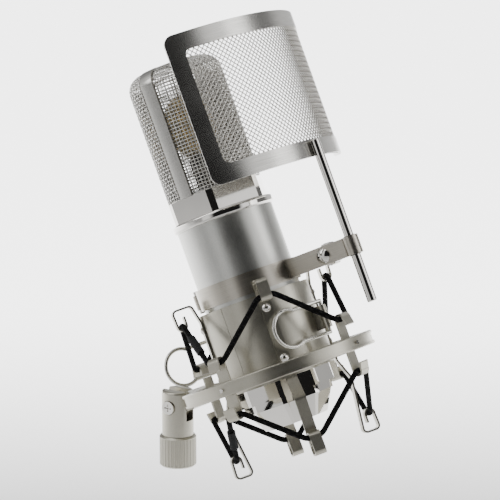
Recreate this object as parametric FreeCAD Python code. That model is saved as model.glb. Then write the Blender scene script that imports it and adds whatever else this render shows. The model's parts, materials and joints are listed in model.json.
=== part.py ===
"""Side-address condenser microphone held by an elastic suspension cradle, with a metal pop filter.

Lengths are millimetres. The microphone is modelled in its own frame, with +Z along its axis, +X out of
its front and the middle of the suspension ring at the origin. The last step leans it back about the
stand's pivot, so that the row's origin is the mouth of the stand thread, with +Z up.
"""
import FreeCAD, Part
import math
import os

V = FreeCAD.Vector
X_AXIS = V(1, 0, 0)
Y_AXIS = V(0, 1, 0)
Z_AXIS = V(0, 0, 1)

# Fits and gaps
RUNNING = 0.05
GAP = 0.3
SEAT = 0.1

# Stand swivel
THREAD_RADIUS = 7.6
THREAD_DEPTH = 13.0
KNURL_RADIUS = 10.0
KNURL_HEIGHT = 17.0
KNURL_FLUTES = 30
FLUTE_RADIUS = 0.62
CLEVIS_RADIUS = 8.55
CLEVIS_HEIGHT = 25.0
PIVOT_DROP = 8.5
TONGUE_THICKNESS = 6.0
TONGUE_RADIUS = 7.0
PIVOT_SCREW_RADIUS = 2.0
SCREW_HEAD_RADIUS = 3.6
SCREW_HEAD_HEIGHT = 1.8
REST_TILT = 24.0
PIVOT_REACH = 71.3

# Suspension ring and its hooks
RING_RADIUS = 52.25
RING_WALL = 5.2
RING_HEIGHT = 7.0
ARM_HEIGHT = 10.0
ARM_HALF_WIDTH = 14.0
ELASTIC_RADIUS = 1.5
STRIP_THICKNESS = 1.0
STRIP_BEND = 2.2
OUTER_STRIP_WIDTH = 7.0
INNER_STRIP_WIDTH = 6.0
OUTER_ELASTIC_HEIGHT = 13.8
HOOK_CURL = 2.4
UPPER_INNER_ELASTIC = (40.2, 38.0)
LOWER_INNER_ELASTIC = (37.2, -37.5)
OUTER_STRIP_ANGLES = (0, 90, 180, 270)
INNER_STRIP_ANGLES = (45, 135, 225, 315)

# Cradle
SLEEVE_RADIUS = 29.8
SLEEVE_WALL = 1.2
SLEEVE_BOTTOM = -5.0
SLEEVE_TOP = 39.5
RIVET_HEIGHTS = (5.0, 32.0)
RIVET_RADIUS = 2.2
HANDLE_WIRE = 1.0
HANDLE_POST = (36.2, 4.0)
HANDLE_HEADINGS = {"left": -116.0, "right": -110.0}
HANDLE_MIDDLE = 18.0
HANDLE_HALF_NECK = 8.5
HANDLE_LOOP = 9.8
HANDLE_LEG = 18.0
HANDLE_PIN = 6.5

# Microphone
BODY_RADIUS = 26.0
BODY_WALL = 1.6
BODY_BOTTOM = -5.0
COLLAR_BOTTOM = 83.5
COLLAR_TOP = 87.9
COLLAR_RADIUS = 27.4
HEAD_BASE_TOP = 99.3
HEAD_BASE_RADIUS = 26.7
HEAD_TOP = 168.5
HEAD_RADIUS = 25.2
HEAD_ROUND = 8.0
MESH_WALL = 0.8
BAND_WIDTH = 7.6
FOOT_TIER = -13.5
FOOT_FLAT = 19.5
FOOT_TURN = 7.5
HEAD_FLAT = 26.0
FOOT_STEP = -17.4
NOSE_BOTTOM = -28.4
NOSE_RADIUS = 15.5
XLR_RADIUS = 9.4
XLR_LENGTH = 22.0
XLR_PIN_RADIUS = 1.2
XLR_PIN_CIRCLE = 4.0
CAPSULE_RADIUS = 17.0
CAPSULE_THICKNESS = 7.0
CAPSULE_HEIGHT = 135.0
RAIL_OFFSET = 17.0
TRANSFORMER_HEIGHT = 24.0

# Pop filter and its clamp
CLAMP_BOTTOM = 41.6
CLAMP_TOP = 52.5
CLAMP_WALL = 1.2
ARM_SPLIT = 0.4
HINGE_ANGLE = -165.0
HINGE_RADIUS = 2.4
HINGE_PIN_RADIUS = 1.2
HINGE_CAP = 1.7
HINGE_CAP_HEIGHT = 2.0
ARM_SCREW_REACH = 51.5
THUMB_RADIUS = 6.0
THUMB_FLUTES = 18
CLAMP_SCREW_RADIUS = 2.0
THUMB_LENGTH = 6.5
ROD_REACH = 69.5
ROD_RADIUS = 2.5
ROD_BOTTOM = 17.0
ROD_TOP = 104.0
LINER_WALL = 0.5
POP_BOTTOM = 96.0
POP_TOP = 174.0
POP_RADIUS = 80.0
POP_HALF_ARC = 46.0
POP_BORDER = 8.8
POP_SHEET = 0.7
POP_MESH = 0.3
POP_CORNER = 5.0

PIVOT_HEIGHT = KNURL_HEIGHT + CLEVIS_HEIGHT - PIVOT_DROP


def cylinder(radius, low, high, x=0.0, y=0.0):
    return Part.makeCylinder(radius, high - low, V(x, y, low))


def tube(outer, inner, low, high, x=0.0, y=0.0):
    return cylinder(outer, low, high, x, y).cut(cylinder(inner, low - 1, high + 1, x, y))


def block(low, high):
    return Part.makeBox(high[0] - low[0], high[1] - low[1], high[2] - low[2], V(*low))


def cross_pin(radius, x, z, low, high):
    return Part.makeCylinder(radius, high - low, V(x, low, z), Y_AXIS)


def turned(shape, degrees):
    copy = shape.copy()
    copy.rotate(V(0, 0, 0), Z_AXIS, degrees)
    return copy


def ring_of(shape, angles):
    return Part.makeCompound([turned(shape, angle) for angle in angles])


def polygon_prism(radius, centres, half_flat, low, high, top_radius=None):
    """A prism or taper whose flats are centred on the given angles and span half_flat either side."""
    corners = [centre + side for centre in centres for side in (-half_flat, half_flat)]
    wires = []
    for size, height in ((radius, low), (top_radius or radius, high)):
        points = [turned(Part.Vertex(size, 0, height), corner).Point for corner in corners]
        wires.append(Part.makePolygon(points + points[:1]))
    return Part.makeLoft(wires, True, True)


def strip(edges, width):
    """A flat metal strip: a path in the local XZ plane, thickened and given a width along Y."""
    outline = Part.Wire(edges).makeOffset2D(STRIP_THICKNESS / 2, 0, True)
    face = outline if outline.ShapeType == "Face" else Part.Face(outline.Wires)
    bent = face.extrude(V(0, width, 0))
    bent.translate(V(0, -width / 2, 0))
    return bent


def bent(points, radius):
    """Edges along a bent strip's middle line, each corner eased by an arc of up to the given radius."""
    edges = []
    last = V(points[0][0], 0, points[0][1])
    for before, corner, after in zip(points, points[1:], points[2:]):
        here = V(corner[0], 0, corner[1])
        back = (V(before[0], 0, before[1]) - here)
        ahead = (V(after[0], 0, after[1]) - here)
        half_angle = back.getAngle(ahead) / 2
        reach = min(radius / math.tan(half_angle), 0.45 * back.Length, 0.45 * ahead.Length)
        start = here + back.normalize() * reach
        end = here + ahead.normalize() * reach
        inward = (back + ahead).normalize()
        bend = reach * math.tan(half_angle)
        middle = here + inward * (bend / math.sin(half_angle) - bend)
        edges.append(Part.makeLine(last, start))
        edges.append(Part.Arc(start, middle, end).toShape())
        last = end
    edges.append(Part.makeLine(last, V(points[-1][0], 0, points[-1][1])))
    return edges


def line(start, end):
    return Part.makeLine(V(start[0], 0, start[1]), V(end[0], 0, end[1]))


def arc(start, middle, end):
    points = [V(p[0], 0, p[1]) for p in (start, middle, end)]
    return Part.Arc(*points).toShape()


def hook(elastic, opening):
    """Edges of a hook round an elastic, from its inner leg to its outer; opening is +1 up or -1 down."""
    reach, height = elastic
    inner = (reach - HOOK_CURL, height)
    base = (reach, height - opening * HOOK_CURL)
    outer = (reach + HOOK_CURL, height)
    return inner, arc(inner, base, outer), outer


# ---------------------------------------------------------------- stand swivel

def thread_ring():
    ring = tube(KNURL_RADIUS, THREAD_RADIUS, 0, KNURL_HEIGHT)
    flat = [e for e in ring.Edges if e.BoundBox.ZLength < 0.01]
    rims = [e for e in flat if abs(e.BoundBox.XMax - KNURL_RADIUS) < 0.01]
    ring = ring.makeChamfer(0.8, rims)
    cap = cylinder(THREAD_RADIUS + 0.5, THREAD_DEPTH, THREAD_DEPTH + 0.6)
    ring = ring.fuse(cap)
    flute = cylinder(FLUTE_RADIUS, 1.2, KNURL_HEIGHT - 1.2, KNURL_RADIUS + 0.2)
    return ring.cut(ring_of(flute, [i * 360.0 / KNURL_FLUTES for i in range(KNURL_FLUTES)]))


def clevis():
    bottom = KNURL_HEIGHT + SEAT
    body = cylinder(CLEVIS_RADIUS, bottom, bottom + CLEVIS_HEIGHT)
    top = [e for e in body.Edges if e.BoundBox.ZMin > bottom + CLEVIS_HEIGHT - 0.1]
    body = body.makeFillet(1.5, top)
    spigot = cylinder(THREAD_RADIUS - RUNNING, THREAD_DEPTH + 1.5, bottom + 1)
    slot_half = TONGUE_THICKNESS / 2 + RUNNING
    slot = block((-20, -slot_half, PIVOT_HEIGHT - TONGUE_RADIUS - 0.6), (20, slot_half, 60))
    bore = cross_pin(PIVOT_SCREW_RADIUS + RUNNING, 0, PIVOT_HEIGHT, -20, 20)
    sides = []
    for side in (-1, 1):
        low, high = sorted((side * (CLEVIS_RADIUS - 1.2), side * 20))
        sides.append(cross_pin(SCREW_HEAD_RADIUS + 0.4, 0, PIVOT_HEIGHT, low, high))
    return body.fuse(spigot).cut(slot).cut(bore).cut(sides[0]).cut(sides[1])


def pivot_screw():
    face = CLEVIS_RADIUS - 1.2 + SEAT
    shank = cross_pin(PIVOT_SCREW_RADIUS, 0, PIVOT_HEIGHT, -face - 0.1, face + 2.2)
    head = cross_pin(SCREW_HEAD_RADIUS, 0, PIVOT_HEIGHT, -face - SCREW_HEAD_HEIGHT, -face)
    reach = face + SCREW_HEAD_HEIGHT
    slot = block((-5, -reach - 1, PIVOT_HEIGHT - 0.4), (5, -reach + 0.8, PIVOT_HEIGHT + 0.4))
    cross = block((-0.4, -reach - 1, PIVOT_HEIGHT - 2), (0.4, -reach + 0.8, PIVOT_HEIGHT + 2))
    return shank.fuse(head).cut(slot.common(cross_pin(2.2, 0, PIVOT_HEIGHT, -20, 20))).cut(cross)


def pivot_nut():
    face = CLEVIS_RADIUS - 1.2 + SEAT
    points = []
    for i in range(7):
        angle = math.radians(60 * i)
        points.append(V(3.5 * math.cos(angle), face, PIVOT_HEIGHT + 3.5 * math.sin(angle)))
    body = Part.Face(Part.makePolygon(points)).extrude(V(0, 2.0, 0))
    return body.cut(cross_pin(PIVOT_SCREW_RADIUS + 0.02, 0, PIVOT_HEIGHT, 0, 30))


# ---------------------------------------------------------------- suspension ring

def suspension_ring():
    half = RING_HEIGHT / 2
    ring = tube(RING_RADIUS, RING_RADIUS - RING_WALL, -half, half)
    groove = tube(RING_RADIUS + 5, RING_RADIUS - 0.7, -half * 0.6, half * 0.6)
    ring = ring.cut(groove)
    flat = [e for e in ring.Edges if e.BoundBox.ZLength < 0.01]
    rims = [e for e in flat if abs(abs(e.BoundBox.ZMax) - half) < 0.01]
    ring = ring.makeFillet(0.5, rims)
    tongue = cross_pin(TONGUE_RADIUS, -PIVOT_REACH, 0, -TONGUE_THICKNESS / 2, TONGUE_THICKNESS / 2)
    outer = CLEVIS_RADIUS + 2.5
    neck_points = [
        V(-PIVOT_REACH, -TONGUE_THICKNESS / 2, 0),
        V(-PIVOT_REACH + outer, -TONGUE_THICKNESS / 2, 0),
        V(-RING_RADIUS + 2.5, -ARM_HALF_WIDTH, 0),
        V(-RING_RADIUS + 2.5, ARM_HALF_WIDTH, 0),
        V(-PIVOT_REACH + outer, TONGUE_THICKNESS / 2, 0),
        V(-PIVOT_REACH, TONGUE_THICKNESS / 2, 0),
        V(-PIVOT_REACH, -TONGUE_THICKNESS / 2, 0),
    ]
    neck = Part.Face(Part.makePolygon(neck_points)).extrude(V(0, 0, ARM_HEIGHT))
    neck.translate(V(0, 0, -ARM_HEIGHT / 2))
    start = -PIVOT_REACH - 1
    taper = [
        V(start, -20, -ARM_HEIGHT / 2),
        V(-RING_RADIUS - 4, -20, -ARM_HEIGHT / 2),
        V(-RING_RADIUS + 3, -20, -half),
        V(-RING_RADIUS + 3, -20, half),
        V(-RING_RADIUS - 4, -20, ARM_HEIGHT / 2),
        V(start, -20, ARM_HEIGHT / 2),
        V(start, -20, -ARM_HEIGHT / 2),
    ]
    neck = neck.common(Part.Face(Part.makePolygon(taper)).extrude(V(0, 40, 0)))
    ring = ring.fuse([tongue, neck])
    ring = ring.cut(cylinder(RING_RADIUS - RING_WALL, -10, 10))
    return ring.cut(cross_pin(PIVOT_SCREW_RADIUS + RUNNING, -PIVOT_REACH, 0, -20, 20)).removeSplitter()


def outer_strip():
    """A hook strip that stands inside the ring, curled outward over both elastics."""
    wall = RING_RADIUS - RING_WALL - STRIP_THICKNESS / 2 - GAP
    elastic_reach = wall + HOOK_CURL
    edges = []
    for sign in (-1, 1):
        inner, curl, outer = hook((elastic_reach, sign * OUTER_ELASTIC_HEIGHT), -sign)
        tip = (outer[0] + 0.8, outer[1] - sign * 3.5)
        if sign < 0:
            edges += [line(tip, outer), curl, line(inner, (wall, OUTER_ELASTIC_HEIGHT))]
        else:
            edges += [curl, line(outer, tip)]
    return strip(Part.__sortEdges__(edges), OUTER_STRIP_WIDTH)


def bracket_screw():
    reach = RING_RADIUS - 0.7
    shank = Part.makeCylinder(1.0, 1.2, V(reach + 0.02, 0, 0), X_AXIS)
    return shank.cut(block((reach + 0.8, -3, -0.25), (reach + 3, 3, 0.25)))


# ---------------------------------------------------------------- cradle

def sleeve_half(side):
    inner = SLEEVE_RADIUS - SLEEVE_WALL
    shell = tube(SLEEVE_RADIUS, inner, SLEEVE_BOTTOM, SLEEVE_TOP)
    half = block((0.1, -40, -20), (40, 40, 60))
    return shell.common(half if side > 0 else turned(half, 180))


def inner_strip():
    """A strip riveted to the sleeve, hooked over the upper elastic and under the lower one."""
    wall = SLEEVE_RADIUS + SEAT + STRIP_THICKNESS / 2
    up_in, up_curl, up_out = hook(UPPER_INNER_ELASTIC, 1)
    low_in, low_curl, low_out = hook(LOWER_INNER_ELASTIC, -1)
    top = up_out[1] + 8.5
    foot = low_out[1] - 9.0
    points = [up_out, (up_out[0] + 0.4, top), (wall + 2.2, top), (wall, top - 10), (wall, -6.0)]
    points += [(wall + 4.2, -17.0), (wall + 0.6, foot), (low_out[0] + 0.4, foot), low_out]
    edges = [line((up_in[0], up_in[1] + 4), up_in), up_curl]
    edges += bent(points, STRIP_BEND)
    edges += [low_curl, line(low_in, (low_in[0], low_in[1] - 4))]
    return strip(edges, INNER_STRIP_WIDTH)


def rivet(height):
    face = SLEEVE_RADIUS + SEAT + STRIP_THICKNESS + 0.02
    head = Part.makeSphere(RIVET_RADIUS * 1.25, V(face - RIVET_RADIUS * 0.75, 0, height))
    return head.common(block((face, -5, height - 5), (face + 5, 5, height + 5)))


def handle_place(shape, side):
    """Stand a handle piece, made about the Z axis with its loop along +X, on its own side of the cradle."""
    copy = turned(shape, HANDLE_HEADINGS[side])
    reach = HANDLE_POST[0] if side == "right" else -HANDLE_POST[0]
    copy.translate(V(reach, HANDLE_POST[1], 0))
    return copy


def handle_wire(side):
    """A sprung wire handle: two pins in a lug, two legs and a round loop."""
    low = HANDLE_MIDDLE - HANDLE_HALF_NECK
    high = HANDLE_MIDDLE + HANDLE_HALF_NECK
    centre = HANDLE_LEG + math.sqrt(HANDLE_LOOP ** 2 - HANDLE_HALF_NECK ** 2)
    loop = arc((HANDLE_LEG, low), (centre + HANDLE_LOOP, HANDLE_MIDDLE), (HANDLE_LEG, high))
    start = V(HANDLE_LEG, 0, low)
    profile = Part.Wire(Part.makeCircle(HANDLE_WIRE, start, loop.tangentAt(loop.FirstParameter)))
    wire = Part.Wire(loop).makePipeShell([profile], True, True)
    for height, inward in ((low, 1), (high, -1)):
        leg = Part.makeCylinder(HANDLE_WIRE, HANDLE_LEG, V(0, 0, height), X_AXIS)
        pin_low, pin_high = sorted((height, height + inward * HANDLE_PIN))
        beads = [Part.makeSphere(HANDLE_WIRE + 0.03, V(x, 0, height)) for x in (0, HANDLE_LEG)]
        wire = wire.fuse([leg, cylinder(HANDLE_WIRE, pin_low, pin_high)] + beads)
    return handle_place(wire, side)


def handle_lug(side):
    """The bored post that a handle's pins turn in, with the web that carries it on the sleeve."""
    half = HANDLE_HALF_NECK - HANDLE_WIRE - 1.5
    low = HANDLE_MIDDLE - half
    high = HANDLE_MIDDLE + half
    reach = HANDLE_POST[0] if side == "right" else -HANDLE_POST[0]
    post = cylinder(HANDLE_WIRE + 1.2, low, high, reach, HANDLE_POST[1])
    near = SLEEVE_RADIUS - 1.0
    web_low, web_high = sorted((math.copysign(near, reach), reach))
    web = block((web_low, HANDLE_POST[1] - 0.9, low), (web_high, HANDLE_POST[1] + 0.9, high))
    lug = post.fuse(web).cut(cylinder(SLEEVE_RADIUS + SEAT, low - 1, high + 1))
    return lug.cut(cylinder(HANDLE_WIRE + RUNNING, low - 1, high + 1, reach, HANDLE_POST[1])).removeSplitter()


def elastic(inner, outer_height):
    """One closed cord that runs through the inner and outer hooks by turns."""
    wall = RING_RADIUS - RING_WALL - STRIP_THICKNESS / 2 - GAP
    outer = (wall + HOOK_CURL, outer_height)
    points = []
    for i in range(8):
        reach, height = outer if i % 2 == 0 else inner
        half = (OUTER_STRIP_WIDTH if i % 2 == 0 else INNER_STRIP_WIDTH) / 2 + 1.0
        for side in (-half, half):
            points.append(turned(Part.Vertex(reach, side, height), 45 * i).Point)
    cord = None
    for a, b in zip(points, points[1:] + points[:1]):
        run = Part.makeCylinder(ELASTIC_RADIUS, (b - a).Length, a, b - a)
        bead = Part.makeSphere(ELASTIC_RADIUS + 0.03, a)
        cord = run.fuse(bead) if cord is None else cord.fuse([run, bead])
    return cord


# ---------------------------------------------------------------- microphone

def body_tube():
    return tube(BODY_RADIUS, BODY_RADIUS - BODY_WALL, BODY_BOTTOM, COLLAR_BOTTOM)


def collar():
    ring = tube(COLLAR_RADIUS, BODY_RADIUS - BODY_WALL, COLLAR_BOTTOM, COLLAR_TOP)
    flat = [e for e in ring.Edges if e.BoundBox.ZLength < 0.01]
    rims = [e for e in flat if e.BoundBox.XMax > COLLAR_RADIUS - 0.01]
    return ring.makeFillet(1.4, rims)


def head_base():
    centres = [90 + 60 * i for i in range(6)]
    prism = polygon_prism(HEAD_BASE_RADIUS, centres, HEAD_FLAT, COLLAR_TOP, HEAD_BASE_TOP)
    return prism.cut(cylinder(HEAD_RADIUS - 3.0, COLLAR_TOP - 1, HEAD_BASE_TOP + 1))


def head_shell(radius, wall):
    low = HEAD_BASE_TOP + SEAT
    solids = []
    for shrink in (0.0, wall):
        core = cylinder(radius - shrink, low, HEAD_TOP - shrink)
        rim = [e for e in core.Edges if e.BoundBox.ZMin > HEAD_TOP - wall - 0.1]
        solids.append(core.makeFillet(HEAD_ROUND - shrink, rim))
    return solids[0].cut(solids[1])


def grille(side):
    keep = block((BAND_WIDTH / 2 + SEAT, -40, 90), (40, 40, 180))
    return head_shell(HEAD_RADIUS, MESH_WALL).common(keep if side > 0 else turned(keep, 180))


def side_band():
    shell = head_shell(HEAD_RADIUS + 0.5, MESH_WALL + 0.9)
    return shell.common(block((-BAND_WIDTH / 2, -40, 90), (BAND_WIDTH / 2, 40, 180)))


def inner_mesh():
    return tube(HEAD_RADIUS - 2.2, HEAD_RADIUS - 2.6, HEAD_BASE_TOP + 1.6, HEAD_TOP - HEAD_ROUND)


def foot():
    centres = [FOOT_TURN + 45 * i for i in range(8)]
    upper = polygon_prism(BODY_RADIUS, centres, FOOT_FLAT, FOOT_TIER, BODY_BOTTOM - SEAT)
    step = polygon_prism(BODY_RADIUS - 2.0, centres, FOOT_FLAT, FOOT_STEP, FOOT_TIER)
    nose = polygon_prism(NOSE_RADIUS + 1.5, centres, FOOT_FLAT, NOSE_BOTTOM, FOOT_STEP, BODY_RADIUS - 3.0)
    solid = upper.fuse([step, nose]).removeSplitter()
    return solid.cut(cylinder(XLR_RADIUS + SEAT, NOSE_BOTTOM - 1, BODY_BOTTOM + 1))


def xlr_insert():
    top = NOSE_BOTTOM + XLR_LENGTH
    shell = cylinder(XLR_RADIUS, NOSE_BOTTOM + 0.4, top)
    hollow = cylinder(XLR_RADIUS - 1.2, NOSE_BOTTOM, top - 5)
    body = shell.cut(hollow)
    for angle in (60, 180, 300):
        body = body.cut(turned(cylinder(XLR_PIN_RADIUS + 0.01, top - 8, top + 1, XLR_PIN_CIRCLE), angle))
    return body


def xlr_pins():
    top = NOSE_BOTTOM + XLR_LENGTH
    pin = cylinder(XLR_PIN_RADIUS, top - 17, top + 2, XLR_PIN_CIRCLE)
    return ring_of(pin, (60, 180, 300))


def capsule_backplate():
    start = V(1 - CAPSULE_THICKNESS / 2, 0, CAPSULE_HEIGHT)
    return Part.makeCylinder(CAPSULE_RADIUS - 1, CAPSULE_THICKNESS - 2, start, X_AXIS)


def capsule_ring():
    start = -CAPSULE_THICKNESS / 2
    outer = Part.makeCylinder(CAPSULE_RADIUS, CAPSULE_THICKNESS, V(start, 0, CAPSULE_HEIGHT), X_AXIS)
    inner = Part.makeCylinder(CAPSULE_RADIUS - 1 + 0.02, 30, V(-15, 0, CAPSULE_HEIGHT), X_AXIS)
    return outer.cut(inner)


def capsule_diaphragm(side):
    start = CAPSULE_THICKNESS / 2 - 0.5 if side > 0 else -CAPSULE_THICKNESS / 2 + 0.2
    return Part.makeCylinder(CAPSULE_RADIUS - 1.1, 0.3, V(start, 0, CAPSULE_HEIGHT), X_AXIS)


def capsule_saddle():
    top = CAPSULE_HEIGHT - CAPSULE_RADIUS - SEAT
    return block((-5, -6, HEAD_BASE_TOP + 1.5), (5, 6, top))


def head_plate():
    return cylinder(HEAD_RADIUS - 3.1, HEAD_BASE_TOP - 2.0, HEAD_BASE_TOP + 1.4)


def chassis_rails():
    low = BODY_BOTTOM + 4
    rail = block((-4, RAIL_OFFSET, low), (4, RAIL_OFFSET + 2, HEAD_BASE_TOP - 2.2))
    return ring_of(rail, (0, 180))


def chassis_base():
    plate = cylinder(BODY_RADIUS - BODY_WALL - SEAT, BODY_BOTTOM + 1, BODY_BOTTOM + 3.9)
    return plate.cut(cylinder(XLR_RADIUS + 1, BODY_BOTTOM, BODY_BOTTOM + 5))


def circuit_board():
    return block((6, -RAIL_OFFSET + SEAT, 34), (7.6, RAIL_OFFSET - SEAT, 92))


def transformer():
    return block((-12, -11, 4), (5, 11, 4 + TRANSFORMER_HEIGHT))


def capacitor():
    return Part.makeCylinder(5.0, 20, V(0, 0, 60))


def transistor_can():
    return Part.makeCylinder(3.0, 4.5, V(0, 8, 48), Z_AXIS)


# ---------------------------------------------------------------- clamp and pop filter

def clamp_band():
    middle = (CLAMP_BOTTOM + CLAMP_TOP) / 2
    inner = BODY_RADIUS + GAP
    band = tube(inner + CLAMP_WALL, inner, CLAMP_BOTTOM, CLAMP_TOP)
    arm_half = ARM_SPLIT / 2 + CLAMP_WALL
    arm_start = inner + CLAMP_WALL / 2
    arm = block((arm_start, -arm_half, CLAMP_BOTTOM + 0.6), (ROD_REACH, arm_half, CLAMP_TOP - 0.6))
    bore = ROD_RADIUS + 2 * RUNNING + LINER_WALL
    loop = cylinder(bore + CLAMP_WALL, CLAMP_BOTTOM + 0.6, CLAMP_TOP - 0.6, ROD_REACH)
    hinge_reach = inner + CLAMP_WALL + 1.8
    hinge = cylinder(HINGE_RADIUS, CLAMP_BOTTOM + 1.5, CLAMP_TOP - 1.5, hinge_reach)
    pin_bore = cylinder(HINGE_PIN_RADIUS + RUNNING, 0, 100, hinge_reach)
    solid = band.fuse([arm, loop, turned(hinge, HINGE_ANGLE)])
    solid = solid.cut(cylinder(bore, 0, 100, ROD_REACH))
    solid = solid.cut(block((0, -ARM_SPLIT / 2, 0), (ROD_REACH, ARM_SPLIT / 2, 100)))
    solid = solid.cut(cylinder(inner, 0, 100))
    solid = solid.cut(turned(pin_bore, HINGE_ANGLE))
    screw_bore = cross_pin(CLAMP_SCREW_RADIUS + RUNNING, ARM_SCREW_REACH, middle, -20, 20)
    return solid.cut(screw_bore).removeSplitter()


def clamp_hinge_pin():
    reach = BODY_RADIUS + GAP + CLAMP_WALL + 1.8
    low = CLAMP_BOTTOM - 0.6
    high = CLAMP_TOP + 0.6
    pin = cylinder(HINGE_PIN_RADIUS, low, high, reach)
    lower_cap = cylinder(HINGE_CAP, low, low + HINGE_CAP_HEIGHT, reach)
    upper_cap = cylinder(HINGE_CAP, high - HINGE_CAP_HEIGHT, high, reach)
    return turned(pin.fuse([lower_cap, upper_cap]), HINGE_ANGLE)


def clamp_screw():
    middle = (CLAMP_BOTTOM + CLAMP_TOP) / 2
    face = ARM_SPLIT / 2 + CLAMP_WALL + 0.02
    shank = cross_pin(CLAMP_SCREW_RADIUS, ARM_SCREW_REACH, middle, -face - 0.1, face + THUMB_LENGTH + 1.5)
    head = Part.makeSphere(5.2, V(ARM_SCREW_REACH, -face + 2.8, middle))
    head = head.common(cross_pin(4.0, ARM_SCREW_REACH, middle, -face - 4, -face))
    depth = -face - 1.2
    level = block((ARM_SCREW_REACH - 2, -9, middle - 0.4), (ARM_SCREW_REACH + 2, depth, middle + 0.4))
    upright = block((ARM_SCREW_REACH - 0.4, -9, middle - 2), (ARM_SCREW_REACH + 0.4, depth, middle + 2))
    return shank.fuse(head).cut(level).cut(upright)


def thumb_nut():
    middle = (CLAMP_BOTTOM + CLAMP_TOP) / 2
    low = ARM_SPLIT / 2 + CLAMP_WALL + GAP
    solid = cross_pin(THUMB_RADIUS, ARM_SCREW_REACH, middle, low + 1.6, low + THUMB_LENGTH)
    solid = solid.fuse(cross_pin(4.2, ARM_SCREW_REACH, middle, low, low + 2))
    for i in range(THUMB_FLUTES):
        angle = 2 * math.pi * i / THUMB_FLUTES
        x = ARM_SCREW_REACH + (THUMB_RADIUS + 0.2) * math.cos(angle)
        z = middle + (THUMB_RADIUS + 0.2) * math.sin(angle)
        solid = solid.cut(cross_pin(0.6, x, z, low, low + THUMB_LENGTH + 1))
    return solid.cut(cross_pin(CLAMP_SCREW_RADIUS + RUNNING, ARM_SCREW_REACH, middle, low - 1, 20))


def rod_liner():
    inner = ROD_RADIUS + RUNNING
    return tube(inner + LINER_WALL, inner, CLAMP_BOTTOM + 0.3, CLAMP_TOP - 0.3, ROD_REACH)


def pop_rod():
    rod = cylinder(ROD_RADIUS, ROD_BOTTOM, ROD_TOP, ROD_REACH)
    ends = [e for e in rod.Edges if e.BoundBox.ZLength < 0.01]
    return rod.makeFillet(0.6, ends)


def arc_sheet(outer, wall, half_arc, low, high, corner):
    """A curved sheet about the microphone's axis, with rounded corners."""
    sheet = Part.makeCylinder(outer, high - low, V(0, 0, low), Z_AXIS, 2 * half_arc)
    sheet = turned(sheet, -half_arc).cut(cylinder(outer - wall, low - 1, high + 1))
    if corner > 0:
        radial = [e for e in sheet.Edges if abs(e.Length - wall) < 0.01]
        sheet = sheet.makeFillet(corner, radial)
    return sheet


def pop_place(shape):
    """Carry a curved sheet from the mic's axis to where its outer face meets the rod."""
    copy = shape.copy()
    copy.translate(V(ROD_REACH - ROD_RADIUS - 0.02 - POP_RADIUS, 0, 0))
    return copy


def pop_frame(outer):
    border_angle = math.degrees(POP_BORDER / outer)
    sheet = arc_sheet(outer, POP_SHEET, POP_HALF_ARC, POP_BOTTOM, POP_TOP, POP_CORNER)
    window = arc_sheet(outer + 2, POP_SHEET + 4, POP_HALF_ARC - border_angle, POP_BOTTOM + POP_BORDER,
                       POP_TOP - POP_BORDER, POP_CORNER - 1.5)
    return pop_place(sheet.cut(window))


def pop_mesh(outer):
    inset = POP_BORDER - 2.5
    angle = math.degrees(inset / outer)
    sheet = arc_sheet(outer, POP_MESH, POP_HALF_ARC - angle, POP_BOTTOM + inset, POP_TOP - inset, 0)
    return pop_place(sheet)


def leaned(shape):
    """Carry a shape from the microphone's frame to the row's: lean it back and hang it on the pivot."""
    copy = shape.copy()
    copy.rotate(V(-PIVOT_REACH, 0, 0), Y_AXIS, -REST_TILT)
    copy.translate(V(PIVOT_REACH, 0, PIVOT_HEIGHT))
    return copy


def mesh_stack():
    """Outer radii of the pop filter's four curved layers, from the rod inwards."""
    outer_frame = POP_RADIUS
    outer_mesh = outer_frame - POP_SHEET - SEAT
    inner_mesh_radius = outer_mesh - POP_MESH - GAP
    inner_frame = inner_mesh_radius - POP_MESH - SEAT
    return outer_frame, outer_mesh, inner_mesh_radius, inner_frame


def rivets():
    heads = Part.makeCompound([rivet(height) for height in RIVET_HEIGHTS])
    return ring_of(heads, INNER_STRIP_ANGLES)


def felt_liner():
    outer = SLEEVE_RADIUS - SLEEVE_WALL - 0.02
    return tube(outer, BODY_RADIUS + GAP, SLEEVE_BOTTOM + 1, SLEEVE_TOP - 1)


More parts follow.
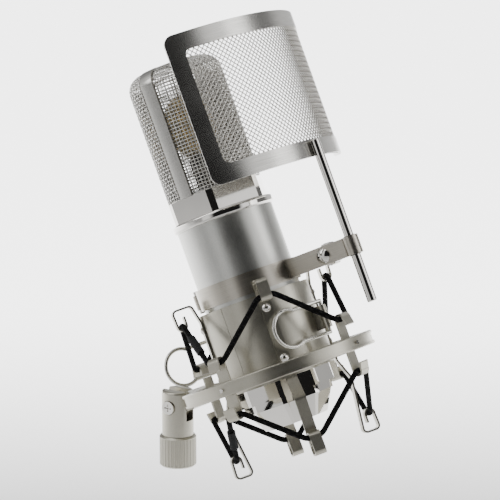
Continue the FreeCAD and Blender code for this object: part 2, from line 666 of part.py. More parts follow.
def leaned_nodes():
    outer_frame, outer_mesh, inner_mesh_radius, inner_frame = mesh_stack()
    wall = RING_RADIUS - RING_WALL - STRIP_THICKNESS / 2 - GAP
    nodes = {"suspension_ring": suspension_ring()}
    for number, angle in enumerate(OUTER_STRIP_ANGLES, 1):
        nodes["outer_hook_%d" % number] = turned(outer_strip(), angle)
    nodes["bracket_screws"] = ring_of(bracket_screw(), OUTER_STRIP_ANGLES[:2] + OUTER_STRIP_ANGLES[3:])
    nodes["sleeve_front"] = sleeve_half(1)
    nodes["sleeve_rear"] = sleeve_half(-1)
    nodes["felt_liner"] = felt_liner()
    for number, angle in enumerate(INNER_STRIP_ANGLES, 1):
        nodes["inner_hook_%d" % number] = turned(inner_strip(), angle)
    nodes["sleeve_rivets"] = rivets()
    for side in HANDLE_HEADINGS:
        nodes["handle_%s" % side] = handle_wire(side)
        nodes["handle_lug_%s" % side] = handle_lug(side)
    nodes["elastic_upper"] = elastic(UPPER_INNER_ELASTIC, OUTER_ELASTIC_HEIGHT)
    nodes["elastic_lower"] = elastic(LOWER_INNER_ELASTIC, -OUTER_ELASTIC_HEIGHT)
    nodes["body_tube"] = body_tube()
    nodes["collar"] = collar()
    nodes["head_base"] = head_base()
    nodes["grille_front"] = grille(1)
    nodes["grille_rear"] = grille(-1)
    nodes["grille_band"] = side_band()
    nodes["grille_inner_mesh"] = inner_mesh()
    nodes["foot"] = foot()
    nodes["xlr_insert"] = xlr_insert()
    nodes["xlr_pins"] = xlr_pins()
    nodes["capsule_backplate"] = capsule_backplate()
    nodes["capsule_ring"] = capsule_ring()
    nodes["diaphragm_front"] = capsule_diaphragm(1)
    nodes["diaphragm_rear"] = capsule_diaphragm(-1)
    nodes["capsule_saddle"] = capsule_saddle()
    nodes["head_plate"] = head_plate()
    nodes["chassis_rails"] = chassis_rails()
    nodes["chassis_base"] = chassis_base()
    nodes["circuit_board"] = circuit_board()
    nodes["transformer"] = transformer()
    nodes["coupling_capacitor"] = capacitor()
    nodes["transistor_can"] = transistor_can()
    nodes["clamp_band"] = clamp_band()
    nodes["clamp_hinge_pin"] = clamp_hinge_pin()
    nodes["clamp_screw"] = clamp_screw()
    nodes["thumb_nut"] = thumb_nut()
    nodes["rod_liner"] = rod_liner()
    nodes["pop_rod"] = pop_rod()
    nodes["pop_frame_outer"] = pop_frame(outer_frame)
    nodes["pop_frame_inner"] = pop_frame(inner_frame)
    nodes["pop_mesh_outer"] = pop_mesh(outer_mesh)
    nodes["pop_mesh_inner"] = pop_mesh(inner_mesh_radius)
    return nodes


def main():
    os.makedirs("parts", exist_ok=True)
    nodes = {name: leaned(shape) for name, shape in leaned_nodes().items()}
    nodes["thread_ring"] = thread_ring()
    nodes["clevis"] = clevis()
    nodes["pivot_screw"] = pivot_screw()
    nodes["pivot_nut"] = pivot_nut()
    for name, shape in nodes.items():
        print(name, len(shape.Solids), shape.isValid(), round(shape.Volume, 1))
        shape.exportStep("parts/%s.step" % name)


main()
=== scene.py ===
"""Looks for a condenser microphone in an elastic suspension cradle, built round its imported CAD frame."""
import json
import logging
import math
from dataclasses import dataclass, field
from enum import Enum
from typing import Iterable, Sequence

import bmesh
import bpy
from mathutils import Matrix, Vector


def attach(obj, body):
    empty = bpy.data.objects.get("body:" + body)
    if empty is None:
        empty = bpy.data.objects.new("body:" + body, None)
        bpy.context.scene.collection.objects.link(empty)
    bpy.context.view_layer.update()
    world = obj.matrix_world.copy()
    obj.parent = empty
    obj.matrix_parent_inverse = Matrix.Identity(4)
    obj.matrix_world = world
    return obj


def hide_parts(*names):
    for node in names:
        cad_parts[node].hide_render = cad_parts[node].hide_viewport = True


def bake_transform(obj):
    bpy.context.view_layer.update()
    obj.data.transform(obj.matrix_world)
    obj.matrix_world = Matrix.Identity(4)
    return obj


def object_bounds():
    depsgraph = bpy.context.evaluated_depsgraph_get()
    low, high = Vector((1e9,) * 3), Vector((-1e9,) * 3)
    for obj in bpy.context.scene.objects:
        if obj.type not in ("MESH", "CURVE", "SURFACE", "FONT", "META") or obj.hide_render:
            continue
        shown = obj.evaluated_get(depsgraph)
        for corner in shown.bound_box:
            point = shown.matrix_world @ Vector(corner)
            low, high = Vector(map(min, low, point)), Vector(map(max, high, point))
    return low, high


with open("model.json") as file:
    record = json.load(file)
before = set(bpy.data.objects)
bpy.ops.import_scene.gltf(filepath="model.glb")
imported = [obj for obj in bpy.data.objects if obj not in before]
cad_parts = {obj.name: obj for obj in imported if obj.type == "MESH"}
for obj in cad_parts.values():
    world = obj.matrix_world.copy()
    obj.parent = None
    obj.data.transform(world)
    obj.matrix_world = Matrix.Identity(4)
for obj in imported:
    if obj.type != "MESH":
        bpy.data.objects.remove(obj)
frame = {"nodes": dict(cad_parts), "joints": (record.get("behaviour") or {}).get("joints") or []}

CAD_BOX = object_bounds()
LOG = logging.getLogger("microphone")
MM = 0.001
LEAN = math.radians(24.0)
PIVOT_REACH = 71.3 * MM
Point = tuple[float, float, float]


class Grain(Enum):
    """How a metal's surface was worked."""

    BLASTED = "blasted"
    BRUSHED_ROUND = "brushed round"
    BRUSHED_LONG = "brushed along"
    POLISHED = "polished"


def pivot() -> Vector:
    """The tilt joint's place in the row frame."""
    return Vector(next(j["pos_m"] for j in frame["joints"] if j["name"] == "tilt"))


def leaning_frame() -> Matrix:
    """The matrix that carries the microphone's own frame to the row frame."""
    lean = Matrix.Rotation(-LEAN, 4, "Y")
    return Matrix.Translation(pivot()) @ lean @ Matrix.Translation((PIVOT_REACH, 0, 0))


LEANING = leaning_frame()


def around(radius: float, degrees: float, height: float) -> Vector:
    """A point in the microphone's own frame.

    Args:
        radius: Distance from its axis, in metres.
        degrees: Angle about its axis, from its front.
        height: Height along its axis from the ring's middle, in metres.

    Returns:
        The point, still in the microphone's own frame.
    """
    angle = math.radians(degrees)
    return Vector((radius * math.cos(angle), radius * math.sin(angle), height))


# ------------------------------------------------------------------ finishes


class NodeBench:
    """A short hand for wiring one material's nodes."""

    def __init__(self, name: str) -> None:
        """Start a material with an empty bench but for its shader and output."""
        self.material = bpy.data.materials.new(name)
        self.material.use_nodes = True
        self.tree = self.material.node_tree
        self.shader = self.tree.nodes["Principled BSDF"]

    def add(self, kind: str, **settings: object) -> bpy.types.Node:
        """Add a node and set its properties, returning it."""
        node = self.tree.nodes.new(kind)
        for key, value in settings.items():
            setattr(node, key, value)
        return node

    def link(self, source: bpy.types.NodeSocket, target: bpy.types.NodeSocket) -> None:
        """Join two sockets."""
        self.tree.links.new(source, target)

    def coordinates(self, stretch: Point) -> bpy.types.NodeSocket:
        """Object coordinates turned to the microphone's lean, then stretched.

        Args:
            stretch: Scale along the microphone's front, side and axis.

        Returns:
            The socket that carries the stretched coordinates.
        """
        source = self.add("ShaderNodeTexCoord")
        turn = self.add("ShaderNodeMapping")
        turn.inputs["Rotation"].default_value = (0.0, LEAN, 0.0)
        scale = self.add("ShaderNodeMapping")
        scale.inputs["Scale"].default_value = stretch
        self.link(source.outputs["Object"], turn.inputs["Vector"])
        self.link(turn.outputs["Vector"], scale.inputs["Vector"])
        return scale.outputs["Vector"]

    def noise(self, stretch: Point, scale: float, detail: float = 3.0) -> bpy.types.NodeSocket:
        """A noise pattern's value on stretched coordinates."""
        texture = self.add("ShaderNodeTexNoise")
        texture.inputs["Scale"].default_value = scale
        texture.inputs["Detail"].default_value = detail
        self.link(self.coordinates(stretch), texture.inputs["Vector"])
        return texture.outputs["Fac"]

    def ramp(self, value: bpy.types.NodeSocket, low: Point, high: Point) -> bpy.types.NodeSocket:
        """Blend between two colours by a pattern's value."""
        blend = self.add("ShaderNodeValToRGB")
        blend.color_ramp.elements[0].position = 0.3
        blend.color_ramp.elements[1].position = 0.7
        blend.color_ramp.elements[0].color = (*low, 1.0)
        blend.color_ramp.elements[1].color = (*high, 1.0)
        self.link(value, blend.inputs["Fac"])
        return blend.outputs["Color"]

    def span(self, value: bpy.types.NodeSocket, low: float, high: float) -> bpy.types.NodeSocket:
        """Map a pattern's value to a range."""
        mapped = self.add("ShaderNodeMapRange")
        mapped.inputs["To Min"].default_value = low
        mapped.inputs["To Max"].default_value = high
        self.link(value, mapped.inputs["Value"])
        return mapped.outputs["Result"]

    def bump(self, value: bpy.types.NodeSocket, strength: float, depth: float) -> None:
        """Raise the surface by a pattern's value."""
        node = self.add("ShaderNodeBump")
        node.inputs["Strength"].default_value = strength
        node.inputs["Distance"].default_value = depth
        self.link(value, node.inputs["Height"])
        self.link(node.outputs["Normal"], self.shader.inputs["Normal"])


def scaled(colour: Point, share: float) -> Point:
    """A colour made lighter or darker by a share."""
    return tuple(min(1.0, channel * share) for channel in colour)


@dataclass(frozen=True)
class MetalFinish:
    """A bare, plated or blasted metal."""

    name: str
    colour: Point
    roughness: float
    grain: Grain
    relief: float = 0.06
    variation: float = 0.08

    def material(self) -> bpy.types.Material:
        """Build the metal's material."""
        bench = NodeBench(self.name)
        bench.shader.inputs["Metallic"].default_value = 1.0
        stretch, scale = {
            Grain.BLASTED: ((1.0, 1.0, 1.0), 2600.0),
            Grain.BRUSHED_ROUND: ((12.0, 12.0, 900.0), 6.0),
            Grain.BRUSHED_LONG: ((900.0, 900.0, 12.0), 6.0),
            Grain.POLISHED: ((1.0, 1.0, 1.0), 90.0),
        }[self.grain]
        fine = bench.noise(stretch, scale)
        clouds = bench.noise((1.0, 1.0, 1.0), 45.0)
        low, high = scaled(self.colour, 1 - self.variation), scaled(self.colour, 1 + self.variation)
        bench.link(bench.ramp(fine, low, high), bench.shader.inputs["Base Color"])
        rough = bench.span(clouds, self.roughness * 0.8, self.roughness * 1.25)
        bench.link(rough, bench.shader.inputs["Roughness"])
        bench.bump(fine, self.relief, 0.0001)
        return bench.material


@dataclass(frozen=True)
class SoftFinish:
    """A felt, plastic, laminate or cord finish with no metal in it."""

    name: str
    colour: Point
    roughness: float
    scale: float
    relief: float
    sheen: float = 0.0
    stretch: Point = (1.0, 1.0, 1.0)

    def material(self) -> bpy.types.Material:
        """Build the finish's material."""
        bench = NodeBench(self.name)
        fine = bench.noise(self.stretch, self.scale, 4.0)
        low, high = scaled(self.colour, 0.7), scaled(self.colour, 1.3)
        bench.link(bench.ramp(fine, low, high), bench.shader.inputs["Base Color"])
        rough = bench.span(fine, self.roughness * 0.85, self.roughness * 1.15)
        bench.link(rough, bench.shader.inputs["Roughness"])
        bench.shader.inputs["Sheen Weight"].default_value = self.sheen
        bench.bump(fine, self.relief, 0.0003)
        return bench.material


@dataclass(frozen=True)
class BraidFinish:
    """Woven sheath of an elastic cord: crossing diagonal threads."""

    name: str
    colour: Point
    thread: float = 0.0011

    def material(self) -> bpy.types.Material:
        """Build the braid's material from two crossing bands."""
        bench = NodeBench(self.name)
        bands = []
        for stretch in ((1.0, 1.0, 1.0), (-1.0, 1.0, 1.0)):
            wave = bench.add("ShaderNodeTexWave", bands_direction="DIAGONAL")
            wave.inputs["Scale"].default_value = 0.25 / self.thread
            bench.link(bench.coordinates(stretch), wave.inputs["Vector"])
            bands.append(wave.outputs["Fac"])
        cross = bench.add("ShaderNodeMath", operation="MULTIPLY")
        bench.link(bands[0], cross.inputs[0])
        bench.link(bands[1], cross.inputs[1])
        shade = bench.ramp(cross.outputs["Value"], scaled(self.colour, 0.5), scaled(self.colour, 2.2))
        bench.link(shade, bench.shader.inputs["Base Color"])
        bench.link(bench.span(cross.outputs["Value"], 0.85, 0.65), bench.shader.inputs["Roughness"])
        bench.shader.inputs["Specular IOR Level"].default_value = 0.12
        bench.bump(cross.outputs["Value"], 0.7, 0.0004)
        return bench.material


Finish = MetalFinish | SoftFinish | BraidFinish

CHAMPAGNE = MetalFinish("champagne_satin", (0.50, 0.48, 0.41), 0.34, Grain.BLASTED, 0.12)
SATIN_SILVER = MetalFinish("body_satin_silver", (0.60, 0.60, 0.57), 0.33, Grain.BLASTED, 0.14)
MIRROR_NICKEL = MetalFinish("mirror_nickel", (0.80, 0.78, 0.74), 0.07, Grain.POLISHED, 0.0, 0.02)
HANDLE_WIRE = MetalFinish("handle_wire_nickel", (0.66, 0.65, 0.60), 0.2, Grain.BRUSHED_LONG, 0.05)
CLAMP_NICKEL = MetalFinish("clamp_brushed_nickel", (0.50, 0.47, 0.41), 0.28, Grain.BRUSHED_ROUND, 0.2, 0.14)
FILTER_STEEL = MetalFinish("filter_brushed_steel", (0.62, 0.61, 0.58), 0.24, Grain.BRUSHED_ROUND, 0.2, 0.12)
GRILLE_WIRE = MetalFinish("grille_wire", (0.66, 0.65, 0.62), 0.25, Grain.POLISHED, 0.0, 0.06)
FILTER_WIRE = MetalFinish("filter_wire", (0.60, 0.58, 0.54), 0.22, Grain.POLISHED, 0.0, 0.06)
# Painted shade: the inner cloths' wire is a darker copy of the outer wires' colour, for lying behind the
# outer cloths.
INNER_WIRE_SHADED = MetalFinish("inner_wire_painted_shade", (0.30, 0.28, 0.24), 0.4, Grain.POLISHED, 0.0, 0.06)
BRAID = BraidFinish("elastic_braid", (0.005, 0.005, 0.005))
FELT = SoftFinish("grey_felt", (0.05, 0.05, 0.05), 0.95, 1800.0, 0.6, 0.4)
BLACK_PLASTIC = SoftFinish("black_moulding", (0.02, 0.02, 0.02), 0.45, 900.0, 0.15)
GOLD = MetalFinish("gold_plate", (0.90, 0.66, 0.30), 0.2, Grain.POLISHED, 0.0, 0.05)
TURNED_BRASS = MetalFinish("turned_brass", (0.72, 0.56, 0.28), 0.3, Grain.BRUSHED_ROUND, 0.2)
CHASSIS = MetalFinish("chassis_alloy", (0.62, 0.62, 0.62), 0.4, Grain.BRUSHED_LONG, 0.2)
BOARD = SoftFinish("board_laminate", (0.03, 0.16, 0.07), 0.4, 400.0, 0.1)
CORE = MetalFinish("core_laminations", (0.25, 0.24, 0.23), 0.5, Grain.BRUSHED_ROUND, 0.5)
DIPPED = SoftFinish("capacitor_dip", (0.60, 0.32, 0.06), 0.35, 300.0, 0.1)
WHIPPING = SoftFinish("cord_whipping", (0.012, 0.012, 0.013), 0.75, 8.0, 0.8, 0.0, (40.0, 40.0, 220.0))


class Finishes:
    """Every finish's material, built once."""

    built: dict[str, bpy.types.Material] = {}

    @classmethod
    def of(cls, finish: Finish) -> bpy.types.Material:
        """The material of a finish."""
        if finish.name not in cls.built:
            cls.built[finish.name] = finish.material()
        return cls.built[finish.name]


# ------------------------------------------------------------------ mesh making


def new_piece(name: str, mesh: bpy.types.Mesh, finish: Finish) -> bpy.types.Object:
    """Put a finished mesh in the scene.

    Args:
        name: The piece's name.
        mesh: Its mesh, already in the row frame.
        finish: What it is made of.

    Returns:
        The new object, at the origin.
    """
    piece = bpy.data.objects.new(name, mesh)
    mesh.materials.clear()
    mesh.materials.append(Finishes.of(finish))
    for polygon in mesh.polygons:
        polygon.use_smooth = True
    bpy.context.scene.collection.objects.link(piece)
    LOG.info("%s: %d faces", name, len(mesh.polygons))
    return piece


def wire_mesh(
    name: str, routes: Iterable[Sequence[Vector]], radius: float, sides: int, closed: bool = False
) -> bpy.types.Mesh:
    """Round wires along routes given in the microphone's own frame.

    Args:
        name: The mesh's name.
        routes: One list of points for each wire.
        radius: The wire's radius, in metres.
        sides: Curve bevel resolution; 0 gives four sides.
        closed: Whether each wire closes on itself.

    Returns:
        One mesh in the row frame.
    """
    curve = bpy.data.curves.new(name, "CURVE")
    curve.dimensions = "3D"
    curve.bevel_depth = radius
    curve.bevel_resolution = sides
    curve.use_fill_caps = not closed
    for route in routes:
        spline = curve.splines.new("POLY")
        spline.points.add(len(route) - 1)
        for place, point in zip(spline.points, route):
            place.co = (*(LEANING @ point), 1.0)
        spline.use_cyclic_u = closed
    holder = bpy.data.objects.new(name, curve)
    bpy.context.scene.collection.objects.link(holder)
    bpy.context.view_layer.update()
    mesh = bpy.data.meshes.new_from_object(holder.evaluated_get(bpy.context.evaluated_depsgraph_get()))
    bpy.data.objects.remove(holder)
    bpy.data.curves.remove(curve)
    work = bmesh.new()
    work.from_mesh(mesh)
    bmesh.ops.remove_doubles(work, verts=work.verts, dist=1e-6)
    bmesh.ops.recalc_face_normals(work, faces=work.faces)
    work.to_mesh(mesh)
    work.free()
    mesh.name = name
    return mesh


def rounded_route(corners: Sequence[Vector], share: float, steps: int) -> list[Vector]:
    """A closed route whose corners are eased by a curve between points on its two runs.

    Args:
        corners: The route's corners, in order.
        share: How much of the shorter run each easing may take, up to a half.
        steps: Points along each eased corner.

    Returns:
        The eased route's points.
    """
    route = []
    count = len(corners)
    for i, corner in enumerate(corners):
        before, after = corners[i - 1], corners[(i + 1) % count]
        reach = share * min((before - corner).length, (after - corner).length)
        start = corner + (before - corner).normalized() * reach
        end = corner + (after - corner).normalized() * reach
        for step in range(steps + 1):
            t = step / steps
            route.append(start * (1 - t) ** 2 + corner * 2 * t * (1 - t) + end * t ** 2)
    return route


def bearing(azimuth: float, elevation: float) -> Vector:
    """A direction out from the object.

    Args:
        azimuth: Degrees round the object, from -Y towards +X.
        elevation: Degrees above level.

    Returns:
        The unit direction.
    """
    a, e = math.radians(azimuth), math.radians(elevation)
    return Vector((math.sin(a) * math.cos(e), -math.cos(a) * math.cos(e), math.sin(e)))


def dress(finish: Finish, *nodes: str) -> None:
    """Give CAD nodes a finish."""
    for name in nodes:
        mesh = frame["nodes"][name].data
        mesh.materials.clear()
        mesh.materials.append(Finishes.of(finish))


# ------------------------------------------------------------------ sub-assemblies


@dataclass
class WovenSheet:
    """A wire cloth, woven over and under."""

    pitch: float
    wire: float
    ripple: float = 0.55

    def lift(self, i: int, j: int) -> float:
        """How far a wire stands off the cloth's middle at a crossing."""
        return self.wire * self.ripple * (1 if (i + j) % 2 else -1)


@dataclass
class HeadGrille:
    """Domed wire cloth round the capsule, in two halves, with a finer cloth inside."""

    radius: float = 24.9 * MM
    base: float = 99.6 * MM
    top: float = 168.1 * MM
    shoulder: float = 8.0 * MM
    half_band: float = 3.9 * MM
    lining_gap: float = 2.1 * MM
    lining_rise: float = 1.3 * MM
    cloth: WovenSheet = field(default_factory=lambda: WovenSheet(1.85 * MM, 0.33 * MM))
    lining: WovenSheet = field(default_factory=lambda: WovenSheet(1.5 * MM, 0.22 * MM))

    def profile(self, length: float) -> tuple[float, float]:
        """Radius and height at a length up the side, round the shoulder and in over the top."""
        straight = self.top - self.shoulder - self.base
        quarter = self.shoulder * math.pi / 2
        inner = self.radius - self.shoulder
        if length <= straight:
            return self.radius, self.base + length
        if length <= straight + quarter:
            angle = (length - straight) / self.shoulder
            rise = self.shoulder * math.sin(angle)
            return inner + self.shoulder * math.cos(angle), self.top - self.shoulder + rise
        return inner - (length - straight - quarter), self.top

    def counts(self) -> tuple[int, int]:
        """How many rows run up and over one half, and how many columns run round it."""
        straight = self.top - self.shoulder - self.base
        run = straight + self.shoulder * math.pi / 2 + self.radius - self.shoulder - self.half_band
        return int(run / self.cloth.pitch), int(math.pi * self.radius / self.cloth.pitch)

    def hoops(self, facing: float) -> list[list[Vector]]:
        """One half's wires that run round the axis.

        Args:
            facing: The angle that the half faces.

        Returns:
            A route for each wire.
        """
        rows, columns = self.counts()
        routes = []
        for i in range(rows + 1):
            reach, height = self.profile(i * self.cloth.pitch)
            if reach < self.half_band + self.cloth.pitch / 2:
                continue
            spread = math.degrees(math.acos(min(1.0, self.half_band / reach)))
            steps = columns if reach > self.radius / 2 else columns // 2
            hoop = []
            for j in range(steps + 1):
                angle = facing - spread + 2 * spread * j / steps
                hoop.append(around(reach + self.cloth.lift(i, j), angle, height))
            routes.append(hoop)
        return routes

    def uprights(self, facing: float) -> list[list[Vector]]:
        """One half's wires that run up the side and in over the top.

        Args:
            facing: The angle that the half faces.

        Returns:
            A route for each wire.
        """
        rows, columns = self.counts()
        routes = []
        for j in range(columns + 1):
            angle = math.pi * (j / columns - 0.5)
            upright = []
            for i in range(rows + 1):
                reach, height = self.profile(i * self.cloth.pitch)
                limit = math.acos(min(1.0, self.half_band / max(reach, self.half_band)))
                if abs(angle) > limit:
                    continue
                point = around(reach - self.cloth.lift(i, j), facing + math.degrees(angle), height)
                upright.append(point)
            if len(upright) > 2:
                routes.append(upright)
        return routes

    def lining_wires(self) -> list[list[Vector]]:
        """The inner cloth's hoops and uprights."""
        radius = self.radius - self.lining_gap
        low, high = self.base + self.lining_rise, self.top - self.shoulder
        columns = 2 * int(math.pi * radius / self.lining.pitch)
        rows = int((high - low) / self.lining.pitch)
        step = 360.0 / columns
        heights = [low + (high - low) * i / rows for i in range(rows + 1)]
        routes = []
        for i, height in enumerate(heights):
            hoop = [around(radius + self.lining.lift(i, j), j * step, height) for j in range(columns + 1)]
            routes.append(hoop)
        for j in range(columns):
            upright = [around(radius - self.lining.lift(i, j), j * step, z) for i, z in enumerate(heights)]
            routes.append(upright)
        return routes

    def build(self) -> None:
        """Weave both halves and the lining in place of their CAD sheets."""
        for facing, node in ((0, "grille_front"), (180, "grille_rear")):
            routes = self.hoops(facing) + self.uprights(facing)
            mesh = wire_mesh(node + "_weave", routes, self.cloth.wire, 0)
            piece = new_piece(node + "_weave", mesh, GRILLE_WIRE)
            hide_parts(node)
            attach(piece, "microphone")
        mesh = wire_mesh("grille_lining", self.lining_wires(), self.lining.wire, 0)
        # The lining's wire carries painted shade.
        piece = new_piece("grille_lining", mesh, INNER_WIRE_SHADED)
        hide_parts("grille_inner_mesh")
        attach(piece, "microphone")


@dataclass
class Microphone:
    """The body, head and what they hold."""

    grille: HeadGrille = field(default_factory=HeadGrille)

    def build(self) -> None:
        """Dress the CAD nodes and weave the grille."""
        dress(SATIN_SILVER, "body_tube")
        dress(MIRROR_NICKEL, "collar", "head_base", "foot")
        dress(FILTER_STEEL, "grille_band")
        dress(BLACK_PLASTIC, "xlr_insert", "capsule_saddle")
        dress(GOLD, "xlr_pins", "diaphragm_front", "diaphragm_rear", "capsule_backplate")
        dress(TURNED_BRASS, "capsule_ring")
        dress(CHASSIS, "head_plate", "chassis_rails", "chassis_base", "transistor_can")
        dress(BOARD, "circuit_board")
        dress(CORE, "transformer")
        dress(DIPPED, "coupling_capacitor")
        self.grille.build()


@dataclass
class PopFilter:
    """The curved filter, its rod and the clamp that carries it."""

    radius_outer: float = 79.05 * MM
    radius_inner: float = 78.45 * MM
    centre: float = -13.02 * MM
    half_arc: float = 41.4
    low: float = 102.4 * MM
    high: float = 167.6 * MM
    cloth: WovenSheet = field(default_factory=lambda: WovenSheet(2.0 * MM, 0.27 * MM, 0.45))

    def wires(self, radius: float, phase: float) -> list[list[Vector]]:
        """One curved layer's wires, which run diagonally.

        Args:
            radius: The layer's radius.
            phase: How far the layer's wires are shifted, as a share of the pitch.

        Returns:
            A route for each wire.
        """
        half_width = math.radians(self.half_arc) * radius
        half_height = (self.high - self.low) / 2
        step = self.cloth.pitch / math.sqrt(2)
        count = int((half_width + half_height) / step) + 1
        routes = []
        for family in (1, -1):
            for i in range(-count, count + 1):
                route = []
                for j in range(-count, count + 1):
                    across, up = (i + j + phase) * step, family * (i - j) * step
                    if abs(across) > half_width or abs(up) > half_height:
                        continue
                    reach = radius + family * self.cloth.lift(i, j)
                    point = around(reach, math.degrees(across / radius), (self.low + self.high) / 2 + up)
                    route.append(point + Vector((self.centre, 0, 0)))
                if len(route) > 1:
                    routes.append(route)
        return routes

    def build(self) -> None:
        """Weave both layers and dress the rest."""
        for name, node, radius, phase, finish in (
            ("filter_weave_outer", "pop_mesh_outer", self.radius_outer, 0.0, FILTER_WIRE),
            # The inner layer's wire carries painted shade.
            ("filter_weave_inner", "pop_mesh_inner", self.radius_inner, 0.5, INNER_WIRE_SHADED),
        ):
            mesh = wire_mesh(name, self.wires(radius, phase), self.cloth.wire, 0)
            piece = new_piece(name, mesh, finish)
            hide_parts(node)
            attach(piece, "pop_filter")
        dress(FILTER_STEEL, "pop_frame_outer", "pop_frame_inner")
        dress(MIRROR_NICKEL, "pop_rod", "clamp_screw", "thumb_nut", "clamp_hinge_pin")
        dress(CLAMP_NICKEL, "clamp_band")
        dress(BLACK_PLASTIC, "rod_liner")


@dataclass
class ElasticCord:
    """One closed braided cord, hooked to the ring and the cradle by turns."""

    name: str
    node: str
    outer: tuple[float, float]
    inner: tuple[float, float]
    radius: float = 1.45 * MM
    half_outer: float = 4.5 * MM
    half_inner: float = 4.0 * MM
    joint_from: int = 5
    joint_to: int = 6
    easing: float = 0.32
    easing_steps: int = 6
    whipping_wire: float = 0.42 * MM
    whipping_turns: int = 17

    def corners(self) -> list[Vector]:
        """The two corners at each of the eight hooks."""
        points = []
        for i in range(8):
            reach, height = self.outer if i % 2 == 0 else self.inner
            half = self.half_outer if i % 2 == 0 else self.half_inner
            turn = Matrix.Rotation(math.radians(45 * i), 4, "Z")
            points += [turn @ Vector((reach, side, height)) for side in (-half, half)]
        return points

    def blend(self, piece: bpy.types.Object) -> None:
        """Bake a piece's placement into its mesh."""
        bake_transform(piece)

    def build(self) -> None:
        """Make the cord and its whipped joint."""
        corners = self.corners()
        route = rounded_route(corners, self.easing, self.easing_steps)
        mesh = wire_mesh(self.name, [route], self.radius, 4, True)
        cord = new_piece(self.name, mesh, BRAID)
        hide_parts(self.node)
        self.blend(cord)
        start, end = corners[2 * self.joint_from + 1], corners[2 * self.joint_to]
        self.whipping(start, end)

    def whipping(self, start: Vector, end: Vector) -> None:
        """A tight winding of thread over the cord's joint, between two hooks."""
        turns, per_turn, wire = self.whipping_turns, 10, self.whipping_wire
        along = (end - start).normalized()
        side = along.orthogonal().normalized()
        across = along.cross(side)
        length = 2 * wire * turns * 0.95  # the turns lie a little into each other
        begin = start.lerp(end, 0.5) - along * length / 2
        helix = []
        for k in range(turns * per_turn + 1):
            angle = 2 * math.pi * k / per_turn
            offset = (side * math.cos(angle) + across * math.sin(angle)) * (self.radius + wire * 0.9)
            helix.append(begin + along * (length * k / (turns * per_turn)) + offset)
        name = self.name + "_whipping"
        piece = new_piece(name, wire_mesh(name, [helix], wire, 1), WHIPPING)
        self.blend(piece)


@dataclass
class Suspension:
    """The stand swivel, the ring, the cradle and the cords between them."""

    outer_reach: float = 48.65 * MM
    outer_height: float = 13.8 * MM
    upper_inner: tuple[float, float] = (40.2 * MM, 38.0 * MM)
    lower_inner: tuple[float, float] = (37.2 * MM, -37.5 * MM)

    def build(self) -> None:
        """Dress the metal and string the cords."""
        dress(CHAMPAGNE, "thread_ring", "clevis", "suspension_ring", "sleeve_front", "sleeve_rear")
        dress(CHAMPAGNE, *[f"outer_hook_{n}" for n in range(1, 5)], *[f"inner_hook_{n}" for n in range(1, 5)])
        dress(CHAMPAGNE, "handle_lug_left", "handle_lug_right")
        dress(MIRROR_NICKEL, "pivot_screw", "pivot_nut", "bracket_screws", "sleeve_rivets")
        dress(HANDLE_WIRE, "handle_left", "handle_right")
        dress(FELT, "felt_liner")
        above, below = (self.outer_reach, self.outer_height), (self.outer_reach, -self.outer_height)
        ElasticCord("elastic_cord_upper", "elastic_upper", above, self.upper_inner).build()
        ElasticCord("elastic_cord_lower", "elastic_lower", below, self.lower_inner).build()


@dataclass(frozen=True)
class SoftLamp:
    """A soft rectangular light that looks at the object."""

    name: str
    azimuth: float
    elevation: float
    reach: float
    size: tuple[float, float]
    watts: float

    def build(self, target: Point) -> None:
        """Hang the light and aim it."""
        away = bearing(self.azimuth, self.elevation)
        light = bpy.data.lights.new(self.name, "AREA")
        light.shape = "RECTANGLE"
        light.size, light.size_y = self.size
        light.energy = self.watts
        lamp = bpy.data.objects.new(self.name, light)
        lamp.location = Vector(target) + away * self.reach
        lamp.rotation_euler = (-away).to_track_quat("-Z", "Y").to_euler()
        bpy.context.scene.collection.objects.link(lamp)


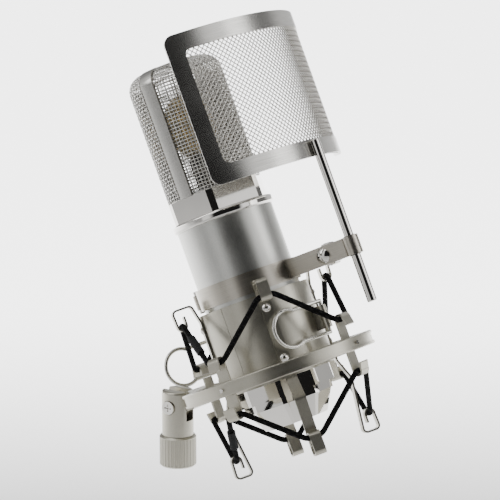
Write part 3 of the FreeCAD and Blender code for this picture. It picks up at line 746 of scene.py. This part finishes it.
@dataclass
class Studio:
    """Pale floor, soft lights and the camera."""

    azimuth: float = 34.1
    elevation: float = 11.6
    distance: float = 1.2
    lens: float = 166.0
    target: Point = (0.0471, 0.0, 0.124)
    white: float = 4.0
    brightest: float = 1.3
    floor_half_side: float = 6.0
    floor_drop: float = 0.03
    glow_span: tuple[float, float] = (-0.25, 0.55)
    seam_light: float = 0.3
    # Each pair is a heading in degrees from +X and how bright the surroundings are there.
    flags: tuple[tuple[float, float], ...] = (
        (-165.0, 0.55), (-140.0, 0.55), (-126.0, 0.05), (-113.0, 0.05), (-101.0, 0.8),
        (-88.0, 0.8), (-77.0, 0.01), (-16.0, 0.01), (-6.0, 1.0), (12.0, 1.0),
        (26.0, 0.12), (62.0, 0.12), (78.0, 0.6), (122.0, 0.6), (140.0, 0.2),
    )
    lamps: tuple[SoftLamp, ...] = (
        SoftLamp("key_left", -38.0, 38.0, 0.9, (0.3, 0.9), 2.2),
        SoftLamp("rim_right", 115.0, 20.0, 0.9, (0.3, 0.9), 2.2),
        SoftLamp("top", 30.0, 80.0, 1.0, (0.6, 0.6), 1.2),
    )

    def floor(self) -> None:
        """A pale floor a little below the lowest part, with painted glow."""
        work = bmesh.new()
        bmesh.ops.create_grid(work, x_segments=1, y_segments=1, size=self.floor_half_side)
        mesh = bpy.data.meshes.new("floor")
        bmesh.ops.translate(work, verts=work.verts, vec=(0, 0, CAD_BOX[0].z - self.floor_drop))
        work.to_mesh(mesh)
        work.free()
        floor = bpy.data.objects.new("floor", mesh)
        bench = NodeBench("pale_floor")
        paint = bench.ramp(bench.noise((1, 1, 1), 3.0), (0.9, 0.9, 0.9), (0.93, 0.93, 0.93))
        bench.link(paint, bench.shader.inputs["Base Color"])
        bench.shader.inputs["Roughness"].default_value = 0.9
        bench.shader.inputs["Emission Color"].default_value = (1.0, 1.0, 1.0, 1.0)
        self.glow(bench)
        mesh.materials.append(bench.material)
        bpy.context.scene.collection.objects.link(floor)

    def glow(self, bench: NodeBench) -> None:
        """Paint glow into the floor: emission that makes it brighter the further it lies beyond the object.
        """
        source = bench.add("ShaderNodeTexCoord")
        beyond = bench.add("ShaderNodeVectorMath", operation="DOT_PRODUCT")
        beyond.inputs[1].default_value = -bearing(self.azimuth, 0.0)
        rise = bench.add("ShaderNodeMapRange", interpolation_type="SMOOTHSTEP")
        rise.inputs["From Min"].default_value = self.glow_span[0]
        rise.inputs["From Max"].default_value = self.glow_span[1]
        rise.inputs["To Min"].default_value = 0.0
        rise.inputs["To Max"].default_value = self.white
        bench.link(source.outputs["Object"], beyond.inputs[0])
        bench.link(beyond.outputs["Value"], rise.inputs["Value"])
        bench.link(rise.outputs["Result"], bench.shader.inputs["Emission Strength"])

    def surroundings(self) -> None:
        """Bright surroundings with dark flags, and plain white straight behind the object."""
        world = bpy.data.worlds.new("studio")
        world.use_nodes = True
        nodes, links = world.node_tree.nodes, world.node_tree.links
        place = nodes.new("ShaderNodeTexCoord")
        parts = nodes.new("ShaderNodeSeparateXYZ")
        heading = nodes.new("ShaderNodeMath")
        heading.operation = "ARCTAN2"
        share = nodes.new("ShaderNodeMapRange")
        share.inputs["From Min"].default_value = -math.pi
        share.inputs["From Max"].default_value = math.pi
        flags = nodes.new("ShaderNodeValToRGB")
        for degrees, light in self.flags:
            stop = flags.color_ramp.elements.new((degrees + 180.0) / 360.0)
            stop.color = (light, light, light, 1.0)
        for seam in (flags.color_ramp.elements[0], flags.color_ramp.elements[-1]):
            seam.color = (self.seam_light, self.seam_light, self.seam_light, 1.0)
        lit = nodes["Background"]
        lit.inputs["Strength"].default_value = self.brightest
        plain = nodes.new("ShaderNodeBackground")
        plain.inputs["Color"].default_value = (1.0, 1.0, 1.0, 1.0)
        plain.inputs["Strength"].default_value = self.white
        path = nodes.new("ShaderNodeLightPath")
        choose = nodes.new("ShaderNodeMixShader")
        links.new(place.outputs["Generated"], parts.inputs["Vector"])
        links.new(parts.outputs["Y"], heading.inputs[0])
        links.new(parts.outputs["X"], heading.inputs[1])
        links.new(heading.outputs["Value"], share.inputs["Value"])
        links.new(share.outputs["Result"], flags.inputs["Fac"])
        links.new(flags.outputs["Color"], lit.inputs["Color"])
        links.new(path.outputs["Is Camera Ray"], choose.inputs["Fac"])
        links.new(lit.outputs["Background"], choose.inputs[1])
        links.new(plain.outputs["Background"], choose.inputs[2])
        links.new(choose.outputs["Shader"], nodes["World Output"].inputs["Surface"])
        bpy.context.scene.world = world

    def camera(self) -> None:
        """The camera, at the object's viewing angle."""
        back = bearing(self.azimuth, self.elevation)
        data = bpy.data.cameras.new("camera")
        data.lens = self.lens
        camera = bpy.data.objects.new("camera", data)
        camera.location = Vector(self.target) + back * self.distance
        camera.rotation_euler = (-back).to_track_quat("-Z", "Y").to_euler()
        bpy.context.scene.collection.objects.link(camera)
        bpy.context.scene.camera = camera

    def build(self) -> None:
        """Set the studio up."""
        self.surroundings()
        self.floor()
        for lamp in self.lamps:
            lamp.build(self.target)
        self.camera()


def main() -> None:
    """Build the studio and every sub-assembly."""
    logging.basicConfig(level=logging.INFO)
    Studio().build()
    for part in (Suspension(), Microphone(), PopFilter()):
        part.build()
        LOG.info("built %s", type(part).__name__)


if __name__ == "__main__":
    main()
